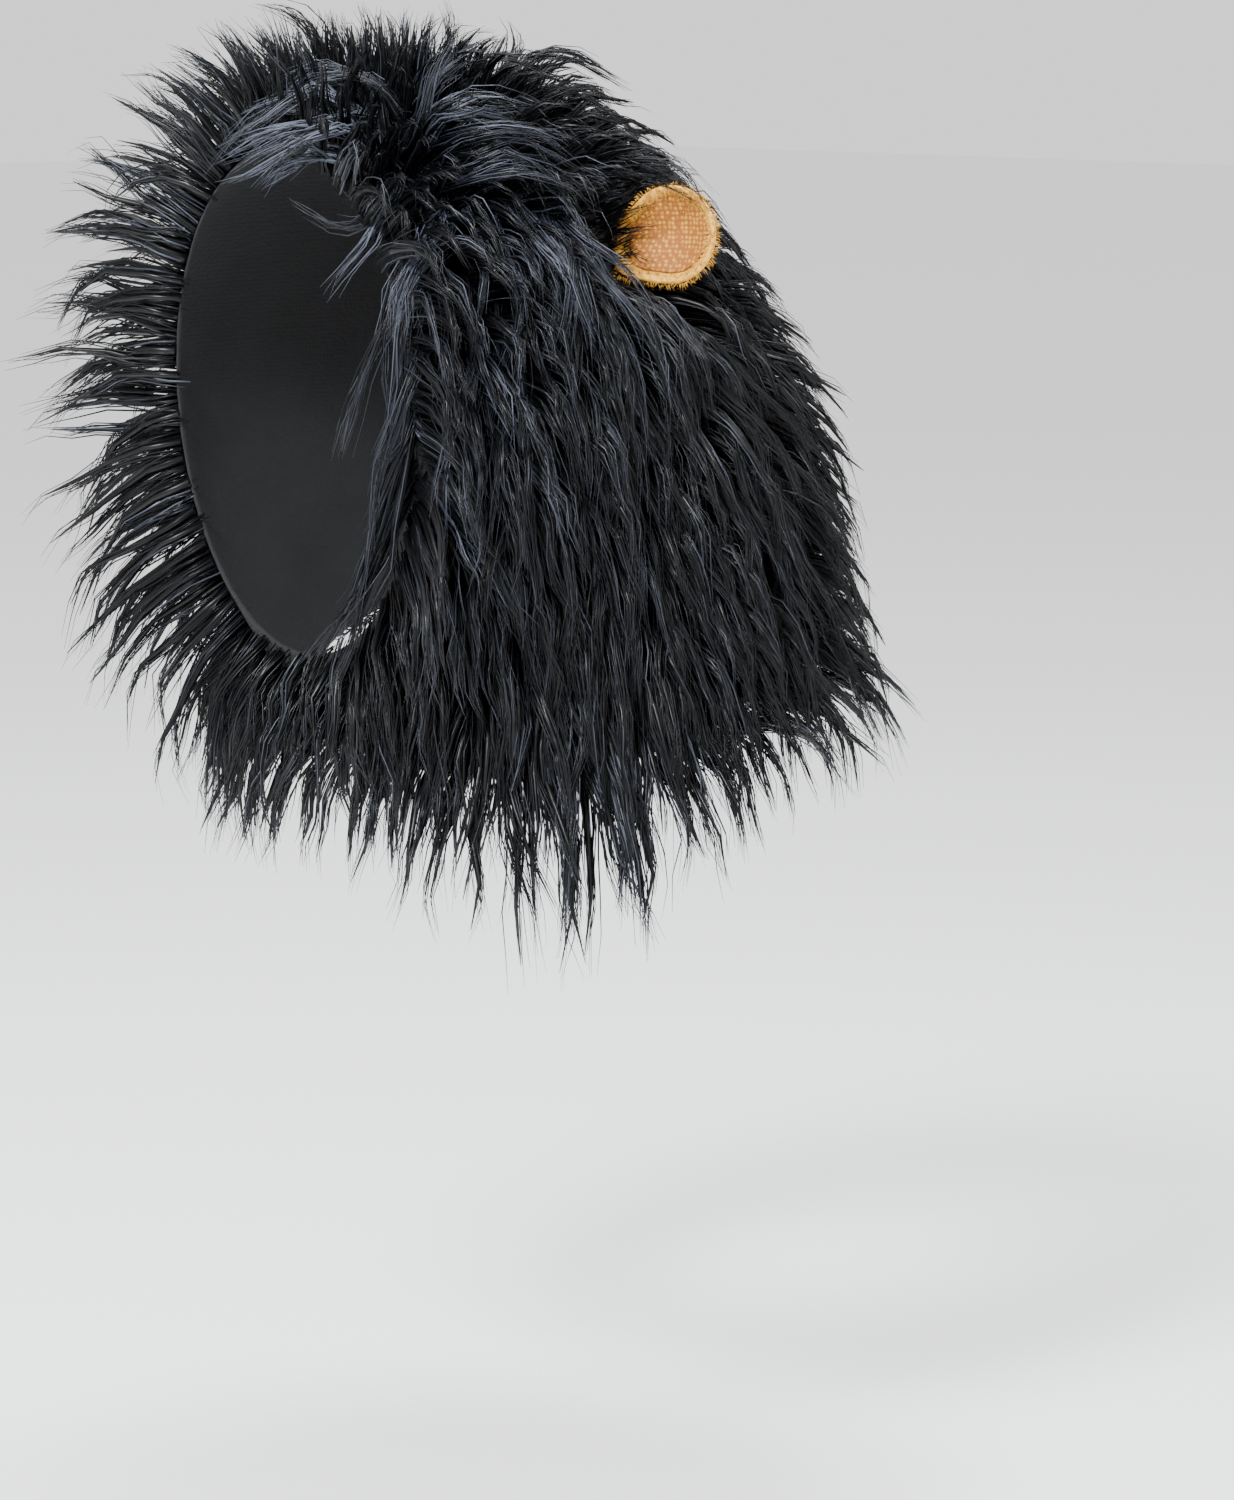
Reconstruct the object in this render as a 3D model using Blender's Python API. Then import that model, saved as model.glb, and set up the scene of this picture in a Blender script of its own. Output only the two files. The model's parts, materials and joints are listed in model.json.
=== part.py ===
"""Lion mane wig for a large dog.

A knit hood is a bent tube, open at the face and at the neck. Four panels of long pile fur are
sewn on it, with their locks fused to a thin backing, and two small round ears stand in slots on
the seams beside the crown.

Metres, +Z up. The face looks along -Y and the wearer's left is +X. The origin is the inside of
the hood at the crown of the head, where the wig sits."""

import math
import random
from collections import namedtuple

import bmesh
import bpy
from mathutils import Vector

# Inside sizes of the hood. Reaches are level and drops are vertical, both from the crown seat.
FACE_WIDTH = 0.144
NECK_WIDTH = 0.190
BROW_REACH = 0.075
CHIN_REACH = 0.060
THROAT_REACH = 0.050
NAPE_REACH = 0.150
CHIN_DROP = 0.222
THROAT_DROP = 0.262
NAPE_DROP = 0.208

# The wig hangs as on a head that is turned a little to its right: the neck edge is carried to the
# wearer's left by this much, is lower there by this slope, and its hair lies longer on that side
# than on the other by this share.
NECK_SHIFT = 0.024
NECK_ROLL = 0.20
TURN_LAY = 0.36

# Cloth and clearances.
HOOD_CLOTH = 0.0022
FUR_BACKING = 0.0015
SEWN_GAP = 0.0004
SEAM_GAP = 0.0012

# Fur: the longest hair, and how unevenly the locks end.
PILE_LENGTH = 0.100
LENGTH_SPREAD = 0.13
SIDE_SPREAD = 0.50
WHORL_REACH = 0.030
WHORL_SPAN = 0.060

# How a hair bends: it rises soon, bends along late, and hangs less over the crown by this share.
RISE_POWER = 1.7
BEND_POWER = 1.8
CROWN_HANG_LESS = 0.5

# A lock is tried against the ears' rooms from this share of its length on, in steps, and it
# narrows by this share on the way to its tip.
CLEAR_START = 0.08
CLEAR_STEP = 0.04
CLEAR_NARROWS = 0.6

# Ears.
EAR_HEIGHT = 0.047
EAR_WIDTH = 0.042
EAR_ROOT = 0.024
EAR_CUP = 0.008
EAR_WALL = 0.0025
EAR_RIM = 0.0050
EAR_LINING = 0.0015
EAR_AIR = 0.007
EAR_FRONT_AIR = 0.032
EAR_SLOT = 0.015
EAR_PLACE = 0.485
EAR_POINTS = Vector((0.88, 0.36, 0.30))
EAR_FACES = Vector((0.47, -0.87, 0.12))

# Columns run round the hood from the crown, towards the wearer's left first. Rows run from the
# face edge to the neck edge.
COLUMNS = 28
CROWN_HALF_COLUMNS = 4
SIDE_COLUMNS = 6
ROWS_BEFORE_EARS = 6
ROWS_BEHIND_EARS = 6
EDGE_SHARE = 0.012
COLUMN_TURN = 2.0 * math.pi / COLUMNS
EAR_TURN = CROWN_HALF_COLUMNS * COLUMN_TURN

# Hood rings from the face edge to the neck edge. crown_reach is a share of BROW_REACH where it is
# negative and of NAPE_REACH where it is positive. crown_drop is a share of NAPE_DROP. under and
# width are shares of the way from the chin edge to the hem, and from FACE_WIDTH to NECK_WIDTH.
Ring = namedtuple("Ring", "crown_reach crown_drop under width")
RINGS = (
    Ring(-1.00, 0.080, 0.00, 0.00),
    Ring(-0.53, 0.018, 0.14, 0.29),
    Ring(0.00, 0.000, 0.29, 0.50),
    Ring(0.30, 0.031, 0.43, 0.64),
    Ring(0.57, 0.142, 0.57, 0.71),
    Ring(0.79, 0.356, 0.71, 0.76),
    Ring(0.91, 0.644, 0.86, 0.86),
    Ring(1.00, 1.000, 1.00, 1.00),
)

# How far the hair stands out from the hood and how far it is combed along, as shares of
# PILE_LENGTH, at each of these turns from the crown. Rows run from the face edge to the neck.
PILE_TURNS = {"crown": 0.0, "side": math.radians(90.0), "jaw": math.radians(135.0), "throat": math.pi}
Out = namedtuple("Out", "crown side jaw throat")
OUTS = (
    Out(0.68, 0.86, 0.74, 0.28),
    Out(0.56, 0.74, 0.66, 0.32),
    Out(0.30, 0.60, 0.58, 0.36),
    Out(0.40, 0.70, 0.54, 0.38),
    Out(0.42, 0.56, 0.50, 0.34),
)
Comb = namedtuple("Comb", "crown side jaw throat")
COMBS = (
    Comb(0.10, 0.22, 0.40, 0.36),
    Comb(0.22, 0.36, 0.50, 0.42),
    Comb(0.34, 0.58, 0.75, 0.46),
    Comb(0.34, 0.56, 0.90, 0.48),
    Comb(0.22, 0.44, 1.04, 0.48),
)

# Rings of one lock: the share of the hair's length, and of its cell's width.
Taper = namedtuple("Taper", "length width")
LOCK_RINGS = (Taper(0.46, 0.86), Taper(0.80, 0.52))

# Rings of the ear, from the middle of its face round the rim to the middle of its back. size is a
# share of its outline, rim and wall are shares of EAR_RIM and EAR_WALL that it lies proud.
EarRing = namedtuple("EarRing", "size rim wall")
EAR_RINGS = (
    EarRing(0.42, 0.00, 0.0),
    EarRing(0.80, 0.00, 0.0),
    EarRing(0.83, 0.35, 0.0),
    EarRing(0.92, 0.50, 0.0),
    EarRing(1.00, 0.00, 0.0),
    EarRing(0.93, -0.50, 0.0),
    EarRing(0.60, 0.00, -1.0),
)
LINING_SIZES = (0.42, 0.76)
EAR_ARC_POINTS = 11
EAR_ARC_HALF_TURN = math.radians(112.0)

DOWN = Vector((0.0, 0.0, -1.0))
SHARP_ANGLE = math.radians(40.0)
STEP = 0.01
SEED = 11


def table_value(rows, name, along):
    """Smooth value of one column, at this share of the way from the first row to the last."""
    last = len(rows) - 1
    low = min(max(math.floor(along * last), 0), last - 1)
    share = along * last - low
    start = getattr(rows[low], name)
    end = getattr(rows[low + 1], name)
    before = getattr(rows[low - 1], name) if low > 0 else 2.0 * start - end
    after = getattr(rows[low + 2], name) if low + 2 <= last else 2.0 * end - start
    leave = 0.5 * (end - before)
    arrive = 0.5 * (after - start)
    square = share * share
    cube = square * share
    return (
        start * (2.0 * cube - 3.0 * square + 1.0)
        + leave * (cube - 2.0 * square + share)
        + end * (3.0 * square - 2.0 * cube)
        + arrive * (cube - square)
    )


def mix(start, end, share):
    return start + (end - start) * share


def hood_inside(turn, along):
    """Point on the inside of the hood. turn is the angle round it from the crown."""
    reach = table_value(RINGS, "crown_reach", along)
    under = table_value(RINGS, "under", along)
    crown = Vector((
        0.0,
        reach * (BROW_REACH if reach < 0.0 else NAPE_REACH),
        -table_value(RINGS, "crown_drop", along) * NAPE_DROP,
    ))
    throat = Vector((
        0.0,
        -mix(CHIN_REACH, THROAT_REACH, under),
        -mix(CHIN_DROP, THROAT_DROP, under),
    ))
    half_width = 0.5 * mix(FACE_WIDTH, NECK_WIDTH, table_value(RINGS, "width", along))
    middle = 0.5 * (crown + throat)
    arm = 0.5 * (crown - throat)
    sideways = half_width * math.sin(turn)
    turned = along * along
    point = middle + arm * math.cos(turn)
    point += Vector((sideways + turned * NECK_SHIFT, 0.0, -turned * NECK_ROLL * sideways))
    return point


def outward(turn, along):
    """Direction straight out of the hood's cloth."""
    round_way = hood_inside(turn + STEP, along) - hood_inside(turn - STEP, along)
    back_way = hood_inside(turn, along + STEP) - hood_inside(turn, along - STEP)
    return round_way.cross(back_way).normalized()


def skin(turn, along, lift):
    """Point at this height over the inside of the hood."""
    return hood_inside(turn, along) + outward(turn, along) * lift


def pile_value(rows, turn, along):
    """Share of the pile's length in a table, between the two turns that it is stated at."""
    spot = abs(math.remainder(turn, 2.0 * math.pi))
    names = list(PILE_TURNS)
    for name, following in zip(names, names[1:]):
        if spot <= PILE_TURNS[following]:
            break
    share = (spot - PILE_TURNS[name]) / (PILE_TURNS[following] - PILE_TURNS[name])
    eased = share * share * (3.0 - 2.0 * share)
    return mix(table_value(rows, name, along), table_value(rows, following, along), eased)


def pile_reach(turn, along):
    """How far the hair rooted here stands out, and how far it is combed along."""
    lay = 1.0 + TURN_LAY * along * math.sin(turn)
    stands = PILE_LENGTH * pile_value(OUTS, turn, along)
    return stands, PILE_LENGTH * pile_value(COMBS, turn, along) * lay


def comb_way(turn, along):
    """The hair lies away from the whorl at the brow, and hangs down."""
    away = hood_inside(turn, along) - Vector((0.0, -WHORL_REACH, 0.0))
    out = outward(turn, along)
    level = away - out * away.dot(out)
    pull = level / (level.length + WHORL_SPAN)
    return (pull + DOWN * (1.0 - CROWN_HANG_LESS * max(0.0, math.cos(turn)))).normalized()


def hair(turn, along, share):
    """Point on the hair rooted here, at this share of its length."""
    stands, combed = pile_reach(turn, along)
    foot = HOOD_CLOTH + SEWN_GAP + FUR_BACKING
    lift = foot + stands * (1.0 - (1.0 - share) ** RISE_POWER)
    return skin(turn, along, lift) + comb_way(turn, along) * combed * share ** BEND_POWER


def row_lines():
    """Shares of the way along the hood at which its rows of cells begin and end."""
    span = skin(EAR_TURN, EAR_PLACE + STEP, HOOD_CLOTH) - skin(EAR_TURN, EAR_PLACE - STEP, HOOD_CLOTH)
    half_slot = 0.5 * EAR_SLOT * 2.0 * STEP / span.length
    front = EAR_PLACE - half_slot
    behind = EAR_PLACE + half_slot
    lines = [front * row / ROWS_BEFORE_EARS for row in range(ROWS_BEFORE_EARS + 1)]
    for row in range(ROWS_BEHIND_EARS + 1):
        lines.append(mix(behind, 1.0, row / ROWS_BEHIND_EARS))
    return lines


class Ear:
    """Where one ear stands. side is 1 on the wearer's left and -1 on the right."""

    def __init__(self, side):
        self.side = side
        flip = Vector((side, 1.0, 1.0))
        lift = HOOD_CLOTH + SEWN_GAP
        self.root = skin(side * EAR_TURN, EAR_PLACE, lift)
        self.points = (EAR_POINTS * flip).normalized()
        faces = EAR_FACES * flip
        self.faces = (faces - self.points * faces.dot(self.points)).normalized()
        self.across = self.points.cross(self.faces) * side
        self.radius = 0.5 * EAR_WIDTH
        self.middle = self.root + self.points * (EAR_HEIGHT - self.radius)
        self.outline = self.trace_outline(lift)

    def trace_outline(self, lift):
        """The ear's edge, from its upper root corner over the tip to its lower one."""
        size = skin(self.side * EAR_TURN + STEP, EAR_PLACE, lift) - self.root
        half_root = 0.5 * EAR_ROOT * STEP / size.length
        line = [skin(self.side * (EAR_TURN - half_root), EAR_PLACE, lift)]
        for index in range(EAR_ARC_POINTS):
            angle = mix(-EAR_ARC_HALF_TURN, EAR_ARC_HALF_TURN, index / (EAR_ARC_POINTS - 1))
            line.append(
                self.middle
                + self.points * (self.radius * math.cos(angle))
                + self.across * (self.radius * math.sin(angle))
            )
        line.append(skin(self.side * (EAR_TURN + half_root), EAR_PLACE, lift))
        line.append(self.root)
        return line

    def ring(self, size, proud):
        """One ring of the cup, this much proud of its dished middle surface."""
        depth = proud - EAR_CUP * (1.0 - size * size)
        return [
            self.middle + (point - self.middle) * size + self.faces * depth for point in self.outline
        ]

    def holds(self, point):
        """Whether a point lies in the room that the ear needs, which is deeper before its face."""
        room = self.root + self.points * (0.5 * EAR_HEIGHT) - self.faces * (0.5 * EAR_CUP)
        offset = point - room
        ahead = offset.dot(self.faces)
        depth = 0.5 * (EAR_CUP + EAR_RIM) + (EAR_FRONT_AIR if ahead > 0.0 else EAR_AIR)
        long_way = offset.dot(self.points) / (0.5 * EAR_HEIGHT + EAR_AIR)
        wide_way = offset.dot(self.across) / (self.radius + EAR_AIR)
        return long_way ** 2 + wide_way ** 2 + (ahead / depth) ** 2 < 1.0


def plain_material(name, colour, roughness):
    material = bpy.data.materials.new(name)
    material.use_nodes = True
    shader = material.node_tree.nodes["Principled BSDF"]
    shader.inputs["Base Color"].default_value = (*colour, 1.0)
    shader.inputs["Roughness"].default_value = roughness
    shader.inputs["Metallic"].default_value = 0.0
    return material


def finish_object(name, mesh_builder, material, parent):
    """Turns a bmesh into a named object."""
    bmesh.ops.recalc_face_normals(mesh_builder, faces=mesh_builder.faces[:])
    if mesh_builder.calc_volume(signed=True) < 0.0:
        bmesh.ops.reverse_faces(mesh_builder, faces=mesh_builder.faces[:])
    mesh = bpy.data.meshes.new(name)
    mesh_builder.to_mesh(mesh)
    mesh_builder.free()
    mesh.materials.append(material)
    mesh.shade_smooth()
    mesh.set_sharp_from_angle(angle=SHARP_ANGLE)
    piece = bpy.data.objects.new(name, mesh)
    piece.parent = parent
    bpy.context.scene.collection.objects.link(piece)
    return piece


def cell_triangles(near, far, near_next, far_next, leans_left):
    """Two triangles of a cell, split the same way in every layer, and mirrored across the wig."""
    if leans_left:
        return (near, far, far_next), (near, far_next, near_next)
    return (near, far, near_next), (far, far_next, near_next)


def build_hood(material, parent):
    """The knit hood: an outer and an inner wall, joined at the face edge and the neck edge."""
    lines = row_lines()
    shape = bmesh.new()
    walls = []
    for lift in (0.0, HOOD_CLOTH):
        walls.append([
            [shape.verts.new(skin(column * COLUMN_TURN, line, lift)) for column in range(COLUMNS)]
            for line in lines
        ])
    for wall in walls:
        for row in range(len(lines) - 1):
            for column in range(COLUMNS):
                following = (column + 1) % COLUMNS
                for corners in cell_triangles(
                    wall[row][column], wall[row + 1][column],
                    wall[row][following], wall[row + 1][following],
                    column < COLUMNS // 2,
                ):
                    shape.faces.new(corners)
    inner, outer = walls
    for row in (0, len(lines) - 1):
        for column in range(COLUMNS):
            following = (column + 1) % COLUMNS
            shape.faces.new((
                inner[row][column], inner[row][following],
                outer[row][following], outer[row][column],
            ))
    return finish_object("hood", shape, material, parent)


class FurPanel:
    """A panel of fur between two column lines, with a tapering lock on each of its cells."""

    def __init__(self, name, first, last, row_groups, ears):
        self.name = name
        self.first = first
        self.last = last
        self.row_groups = row_groups
        self.ears = ears
        self.lines = row_lines()
        self.lines[0] = EDGE_SHARE
        self.lines[-1] = 1.0 - EDGE_SHARE
        self.shape = bmesh.new()
        self.feet = {}

    def turn_at(self, column):
        """The panel's edges keep clear of the next panel's."""
        turn = column * COLUMN_TURN
        inset = SEAM_GAP / NECK_WIDTH
        if column == self.first:
            turn += inset
        if column == self.last:
            turn -= inset
        return turn

    def foot(self, column, row, layer):
        """Corner of the backing: layer 0 lies on the hood, and layer 1 carries the hair."""
        key = (column, row, layer)
        if key not in self.feet:
            lift = HOOD_CLOTH + SEWN_GAP + FUR_BACKING * layer
            point = skin(self.turn_at(column), self.lines[row], lift)
            self.feet[key] = self.shape.verts.new(point)
        return self.feet[key]

    def is_slot(self, column, row):
        """The ears come through the cell on each side of their seam."""
        if row != ROWS_BEFORE_EARS:
            return False
        seams = (CROWN_HALF_COLUMNS, -CROWN_HALF_COLUMNS, COLUMNS - CROWN_HALF_COLUMNS)
        return column in seams or column + 1 in seams

    def has_cell(self, column, row):
        inside = self.first <= column < self.last and 0 <= row < len(self.lines) - 1
        return inside and not self.is_slot(column, row)

    def lay_backing(self):
        """The face that lies on the hood, and the edge all round."""
        for column in range(self.first, self.last):
            for row in range(len(self.lines) - 1):
                if not self.has_cell(column, row):
                    continue
                for corners in cell_triangles(
                    self.foot(column, row, 0), self.foot(column, row + 1, 0),
                    self.foot(column + 1, row, 0), self.foot(column + 1, row + 1, 0),
                    column % COLUMNS < COLUMNS // 2,
                ):
                    self.shape.faces.new(corners)
                sides = (
                    ((column - 1, row), (column, row), (column, row + 1)),
                    ((column + 1, row), (column + 1, row), (column + 1, row + 1)),
                    ((column, row - 1), (column, row), (column + 1, row)),
                    ((column, row + 1), (column, row + 1), (column + 1, row + 1)),
                )
                for neighbour, start, end in sides:
                    if not self.has_cell(*neighbour):
                        self.shape.faces.new((
                            self.foot(*start, 0), self.foot(*end, 0),
                            self.foot(*end, 1), self.foot(*start, 1),
                        ))

    def lock_point(self, middle, corner, width, share, lean):
        """A corner of a lock's ring, drawn in towards the lock's own middle hair."""
        turn = mix(middle[0], corner[0], width) + lean[0] * share ** 2
        turn = min(max(turn, self.turn_at(self.first)), self.turn_at(self.last))
        along = mix(middle[1], corner[1], width) + lean[1] * share ** 2
        return hair(turn, along, share)

    def clear_reach(self, middle, corners, lean, reach):
        """How far a lock can grow before it comes into an ear's room."""
        clear = CLEAR_START
        while clear < reach:
            width = 1.0 - clear / reach * CLEAR_NARROWS
            spots = [self.lock_point(middle, corner, width, clear, lean) for corner in corners]
            spots.append(hair(middle[0], middle[1], clear))
            if any(ear.holds(spot) for ear in self.ears for spot in spots):
                return clear
            clear += CLEAR_STEP
        return reach

    def grow_lock(self, column, low, high, chance):
        """One lock on the cell between two column lines and two row lines."""
        chains = (
            [(column, low), (column + 1, low)],
            [(column + 1, row) for row in range(low, high + 1)],
            [(column + 1, high), (column, high)],
            [(column, row) for row in range(high, low - 1, -1)],
        )
        corners = [(self.turn_at(chain[0][0]), self.lines[chain[0][1]]) for chain in chains]
        middle = (
            sum(corner[0] for corner in corners) / 4.0,
            sum(corner[1] for corner in corners) / 4.0,
        )
        left = column % COLUMNS < COLUMNS // 2
        lean = (
            chance["turn"] * (1.0 if left else -1.0) * COLUMN_TURN * SIDE_SPREAD,
            chance["along"] * (self.lines[high] - self.lines[low]) * SIDE_SPREAD,
        )
        reach = 1.0 - LENGTH_SPREAD * chance["length"]
        reach = self.clear_reach(middle, corners, lean, reach)
        feet = [[self.foot(*spot, 1) for spot in chain] for chain in chains]
        for level, taper in enumerate(LOCK_RINGS):
            ring = [
                self.shape.verts.new(
                    self.lock_point(middle, corner, taper.width, taper.length * reach, lean)
                )
                for corner in corners
            ]
            if level == 0:
                for index in range(4):
                    self.bridge(feet[index], ring[index], ring[(index + 1) % 4])
            else:
                for index in range(4):
                    after = (index + 1) % 4
                    self.shape.faces.new((below[index], below[after], ring[after]))
                    self.shape.faces.new((below[index], ring[after], ring[index]))
            below = ring
        tip = self.shape.verts.new(self.lock_point(middle, middle, 0.0, reach, lean))
        for index in range(4):
            self.shape.faces.new((below[index], below[(index + 1) % 4], tip))

    def bridge(self, chain, start, end):
        """Joins a chain of foot points to one edge of a lock's first ring."""
        split = (len(chain) - 1) // 2
        for index in range(split):
            self.shape.faces.new((chain[index], chain[index + 1], start))
        self.shape.faces.new((chain[split], end, start))
        for index in range(split, len(chain) - 1):
            self.shape.faces.new((chain[index], chain[index + 1], end))

    def build(self, chances, material, parent):
        self.lay_backing()
        for column in range(self.first, self.last):
            around = column % COLUMNS
            mirrored = min(around, COLUMNS - 1 - around)
            for low, high in zip(self.row_groups, self.row_groups[1:]):
                if self.has_cell(column, low):
                    self.grow_lock(column, low, high, chances[mirrored, low])
        return finish_object(self.name, self.shape, material, parent)


def draw_chances():
    """A lean and a length for the lock on each cell of one half. The other half mirrors them."""
    dice = random.Random(SEED)
    chances = {}
    for column in range(COLUMNS // 2):
        for row in range(ROWS_BEFORE_EARS + ROWS_BEHIND_EARS + 1):
            chances[column, row] = {
                "turn": dice.uniform(-1.0, 1.0),
                "along": dice.uniform(-1.0, 1.0),
                "length": dice.uniform(0.0, 2.0),
            }
    return chances


def close_rings(shape, front, rings, back):
    """A closed body from rings of points, with a middle point before the first and the last."""
    loops = [[shape.verts.new(point) for point in ring] for ring in rings]
    count = len(loops[0])
    ends = ((shape.verts.new(front), loops[0]), (shape.verts.new(back), loops[-1]))
    for middle, loop in ends:
        for index in range(count):
            shape.faces.new((middle, loop[index], loop[(index + 1) % count]))
    for loop, following in zip(loops, loops[1:]):
        for index in range(count):
            after = (index + 1) % count
            shape.faces.new((loop[index], loop[after], following[after]))
            shape.faces.new((loop[index], following[after], following[index]))


def build_ear_back(name, ear, material, parent):
    """The plush cup with its rolled rim, whose root stands on the hood."""
    shape = bmesh.new()
    rings = [ear.ring(row.size, row.rim * EAR_RIM + row.wall * EAR_WALL) for row in EAR_RINGS]
    dish = ear.middle - ear.faces * EAR_CUP
    close_rings(shape, dish, rings, dish - ear.faces * EAR_WALL)
    return finish_object(name, shape, material, parent)


def build_ear_inner(name, ear, material, parent):
    """The thin knit lining that lies in the cup, inside the rim."""
    shape = bmesh.new()
    top = SEWN_GAP + EAR_LINING
    rings = [ear.ring(size, top) for size in LINING_SIZES]
    rings += [ear.ring(size, SEWN_GAP) for size in reversed(LINING_SIZES)]
    dish = ear.middle - ear.faces * EAR_CUP
    close_rings(shape, dish + ear.faces * top, rings, dish + ear.faces * SEWN_GAP)
    return finish_object(name, shape, material, parent)


def build():
    for leftover in list(bpy.data.objects):
        bpy.data.objects.remove(leftover)
    knit = plain_material("knit_cloth", (0.030, 0.030, 0.033), 0.9)
    fur = plain_material("mane_fur", (0.020, 0.021, 0.025), 0.55)
    plush = plain_material("ear_plush", (0.80, 0.50, 0.16), 0.85)
    lining = plain_material("ear_lining", (0.46, 0.19, 0.05), 0.9)

    wig = bpy.data.objects.new("wig_seat", None)
    bpy.context.scene.collection.objects.link(wig)

    ears = {"left": Ear(1.0), "right": Ear(-1.0)}
    build_hood(knit, wig)

    side_end = CROWN_HALF_COLUMNS + SIDE_COLUMNS
    row_count = ROWS_BEFORE_EARS + ROWS_BEHIND_EARS + 1
    every_row = list(range(row_count + 1))
    bib_rows = [0, row_count // 3, 2 * row_count // 3, row_count]
    panels = (
        ("crown_fur", -CROWN_HALF_COLUMNS, CROWN_HALF_COLUMNS, every_row),
        ("left_side_fur", CROWN_HALF_COLUMNS, side_end, every_row),
        ("bib_fur", side_end, COLUMNS - side_end, bib_rows),
        ("right_side_fur", COLUMNS - side_end, COLUMNS - CROWN_HALF_COLUMNS, every_row),
    )
    chances = draw_chances()
    for name, first, last, rows in panels:
        FurPanel(name, first, last, rows, ears.values()).build(chances, fur, wig)

    for side, ear in ears.items():
        build_ear_back(side + "_ear_back", ear, plush, wig)
        build_ear_inner(side + "_ear_inner", ear, lining, wig)


build()
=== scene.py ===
"""Looks of the lion mane wig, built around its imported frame.

The four fur panels are replaced by long hair. Its main lines are the locks of the frame's fur
nodes: each new lock takes its course from the nearest of them, then waves, droops and narrows to
a point, and carries a bundle of fine strands. Metres, +Z up, the face looks along -Y and the
wearer's left is +X."""

import json
import math
from collections import namedtuple

import bpy
import numpy as np
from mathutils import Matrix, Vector
from mathutils.bvhtree import BVHTree
from mathutils.kdtree import KDTree

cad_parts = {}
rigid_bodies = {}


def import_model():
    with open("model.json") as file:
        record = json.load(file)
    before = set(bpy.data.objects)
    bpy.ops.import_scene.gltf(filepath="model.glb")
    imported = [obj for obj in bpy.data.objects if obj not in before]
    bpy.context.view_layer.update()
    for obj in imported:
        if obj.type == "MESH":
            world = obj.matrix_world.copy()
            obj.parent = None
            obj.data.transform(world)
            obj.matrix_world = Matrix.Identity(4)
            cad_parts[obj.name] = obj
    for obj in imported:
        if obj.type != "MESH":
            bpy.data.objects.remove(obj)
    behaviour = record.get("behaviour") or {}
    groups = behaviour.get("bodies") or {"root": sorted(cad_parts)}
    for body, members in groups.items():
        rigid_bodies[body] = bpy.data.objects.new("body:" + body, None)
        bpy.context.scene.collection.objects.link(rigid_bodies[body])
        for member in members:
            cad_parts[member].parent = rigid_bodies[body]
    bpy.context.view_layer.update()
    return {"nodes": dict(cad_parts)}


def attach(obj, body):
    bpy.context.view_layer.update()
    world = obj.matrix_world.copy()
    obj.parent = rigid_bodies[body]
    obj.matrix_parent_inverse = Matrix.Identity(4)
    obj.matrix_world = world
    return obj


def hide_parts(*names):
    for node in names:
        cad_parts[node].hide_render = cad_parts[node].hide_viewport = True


for leftover in [thing for thing in bpy.data.objects if thing.name in ("Cube", "Light", "Camera")]:
    bpy.data.objects.remove(leftover)
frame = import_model()

SEED = 7
CENTIMETRE = 0.01
MILLIMETRE = 0.001

# Camera. The photograph is 1234 x 1500 and 63 cm high at the wig.
CAMERA_AZIMUTH = math.radians(45.0)
CAMERA_ELEVATION = math.radians(8.5)
CAMERA_DISTANCE = 2.2
CAMERA_AIM_RIGHT = 0.0836
CAMERA_AIM_DOWN = 0.268
VIEW_HEIGHT = 0.63
SENSOR = 36.0

# At the wig the camera looks down by this much, because the wig is above the middle of the frame.
WIG_ELEVATION = math.radians(6.0)

# Studio. Lamps stand this far to the right of the wig's middle, before it and above it.
Lamp = namedtuple("Lamp", "name right before above power size colour")
LAMPS = (
    Lamp("key", -0.9, 1.5, 1.5, 120.0, 0.5, (0.93, 0.96, 1.0)),
    Lamp("fill", 1.8, 1.2, 0.6, 16.0, 1.2, (0.93, 0.96, 1.0)),
    Lamp("top", 0.0, -0.3, 2.0, 60.0, 0.7, (0.92, 0.96, 1.0)),
)
LAMP_TARGET_ABOVE_AIM = 0.12
WORLD_STRENGTH = 1.25
FLOOR_BELOW_SEAT = 0.577
FLOOR_SIZE = 24.0
FLOOR_GREY = 0.90

FUR_NODES = ("crown_fur", "left_side_fur", "right_side_fur", "bib_fur")
UP = np.array([0.0, 0.0, 1.0])
WELD_DISTANCE = 1e-6
LEAST_LENGTH = 1e-9
SIDE_NUDGE = 1e-4

# Locks of the frame: a ring has this many corners, and each corner of the ring next to the tip
# has this many neighbours. A lock much shorter than those around it isn't followed.
FRAME_LOCK_SIDES = 4
TIP_RING_LINKS = 5
LOCKS_AROUND = 12
WHOLE_LOCK_SHARE = 0.8

# New locks. Each one follows some of the frame's locks, the nearest ones most.
ROOT_TRIES = 18000
LOCK_SPACING = 0.0066
GUIDES_TO_LOCK = 5
GUIDE_BLEND = 4.0 * MILLIMETRE
# A lock's tone, random, sets how light its strands with a painted highlight are.
LOCK_HIGHLIGHT_TONES = (1.0, 2.2)
HAIR_SAMPLES = 25

# They lean and wave. Each wave is its reach as a share of the lock's length, and its turns.
LEAN = 0.11
LEAN_POWER = 1.5
WAVES = ((0.050, 1.1), (0.026, 2.4))
WAVE_RATES = (0.7, 1.3)
WAVE_SIZES = (0.3, 1.0)
WAVE_POWER = 0.7

# They lie flatter where they face the camera, and swing down, but less so on the top.
NEAR_FLATTER = 0.34
NEAR_FLATTER_SPAN = (0.25, 0.80)
LAY_POWER = 0.5
SWING_LEAST = 0.20
SWING_MORE = 0.58
SWING_SPAN = (-0.20, 0.60)
SWING_SPREAD = (0.6, 1.1)
SWING_POWER = 1.1
TOP_SWING_LESS = 0.75
TOP_SPAN = (0.35, 0.85)

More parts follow.
